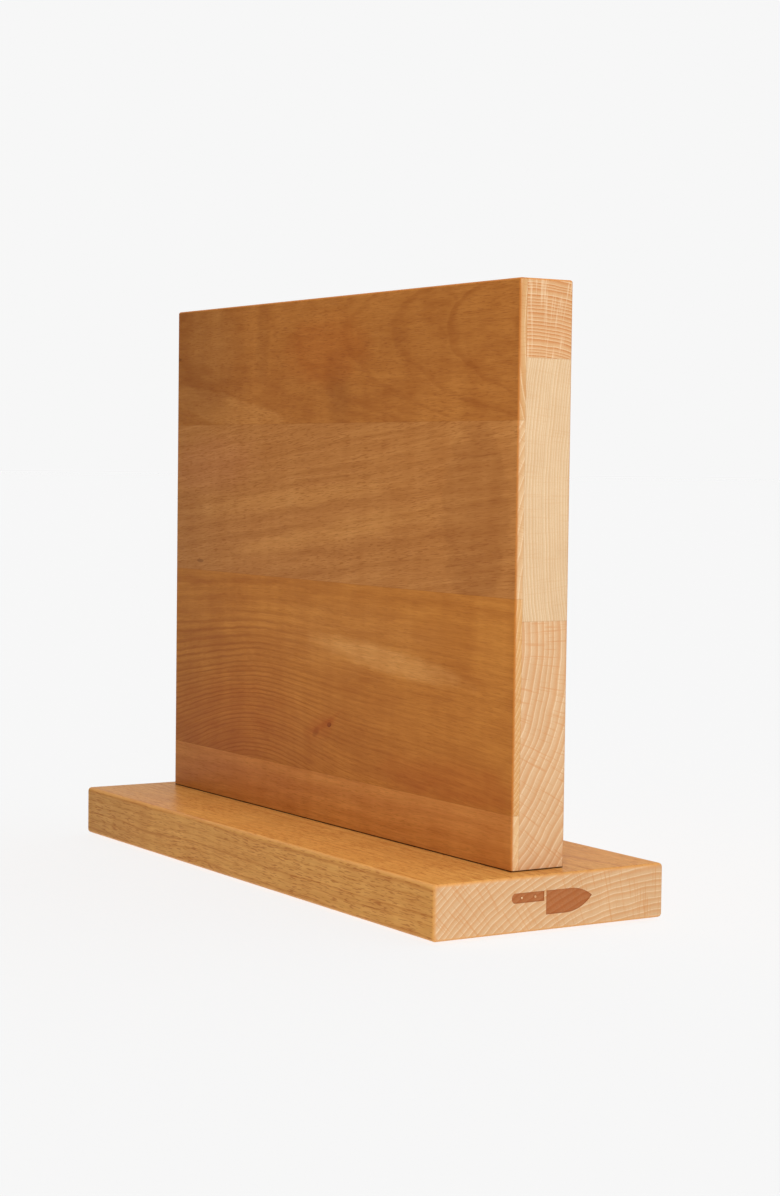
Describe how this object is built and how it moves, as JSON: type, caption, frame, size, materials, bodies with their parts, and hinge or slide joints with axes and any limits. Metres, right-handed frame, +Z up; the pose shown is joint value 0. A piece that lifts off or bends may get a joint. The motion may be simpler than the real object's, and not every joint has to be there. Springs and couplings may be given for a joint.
{
  "type": "magnetic knife rack",
  "caption": "Free-standing wooden knife rack: a flat base plank carries an upright board with hidden disc magnets that hold knives on both faces.",
  "frame": {"origin": "middle of the footprint, on the surface that the feet stand on", "axes": "+Z up, +X along the base plank towards the end with the engraved knife sign, -Y towards the faced front of the panel"},
  "size_m": [0.28, 0.1, 0.231],
  "materials": {
    "beech_base": "satin",
    "beech_core": "satin",
    "beech_facing": "satin",
    "beech_spacer": "matte",
    "beech_dowel": "matte",
    "nickel_plate": "polished",
    "zinc_steel": "satin",
    "silicone": "matte"
  },
  "bodies": {
    "root": {"base_plank": "beech_base", "core_stave_bottom": "beech_core", "core_stave_middle": "beech_core", "core_stave_top": "beech_core", "facing_stave_bottom": "beech_facing", "facing_stave_lower": "beech_facing", "facing_stave_upper": "beech_facing", "facing_stave_top": "beech_facing", "magnet_front_lower_1": "nickel_plate", "magnet_front_lower_2": "nickel_plate", "magnet_front_lower_3": "nickel_plate", "magnet_front_lower_4": "nickel_plate", "magnet_front_lower_5": "nickel_plate", "magnet_front_lower_6": "nickel_plate", "magnet_back_lower_1": "nickel_plate", "magnet_back_lower_2": "nickel_plate", "magnet_back_lower_3": "nickel_plate", "magnet_back_lower_4": "nickel_plate", "magnet_back_lower_5": "nickel_plate", "magnet_back_lower_6": "nickel_plate", "magnet_front_upper_1": "nickel_plate", "magnet_front_upper_2": "nickel_plate", "magnet_front_upper_3": "nickel_plate", "magnet_front_upper_4": "nickel_plate", "magnet_front_upper_5": "nickel_plate", "magnet_front_upper_6": "nickel_plate", "magnet_back_upper_1": "nickel_plate", "magnet_back_upper_2": "nickel_plate", "magnet_back_upper_3": "nickel_plate", "magnet_back_upper_4": "nickel_plate", "magnet_back_upper_5": "nickel_plate", "magnet_back_upper_6": "nickel_plate", "spacer_lower_1": "beech_spacer", "spacer_lower_2": "beech_spacer", "spacer_lower_3": "beech_spacer", "spacer_lower_4": "beech_spacer", "spacer_lower_5": "beech_spacer", "spacer_lower_6": "beech_spacer", "spacer_upper_1": "beech_spacer", "spacer_upper_2": "beech_spacer", "spacer_upper_3": "beech_spacer", "spacer_upper_4": "beech_spacer", "spacer_upper_5": "beech_spacer", "spacer_upper_6": "beech_spacer", "dowel_left": "beech_dowel", "dowel_right": "beech_dowel", "screw_left": "zinc_steel", "screw_middle": "zinc_steel", "screw_right": "zinc_steel", "foot_front_left": "silicone", "foot_front_right": "silicone", "foot_back_left": "silicone", "foot_back_right": "silicone"}
  },
  "joints": []
}
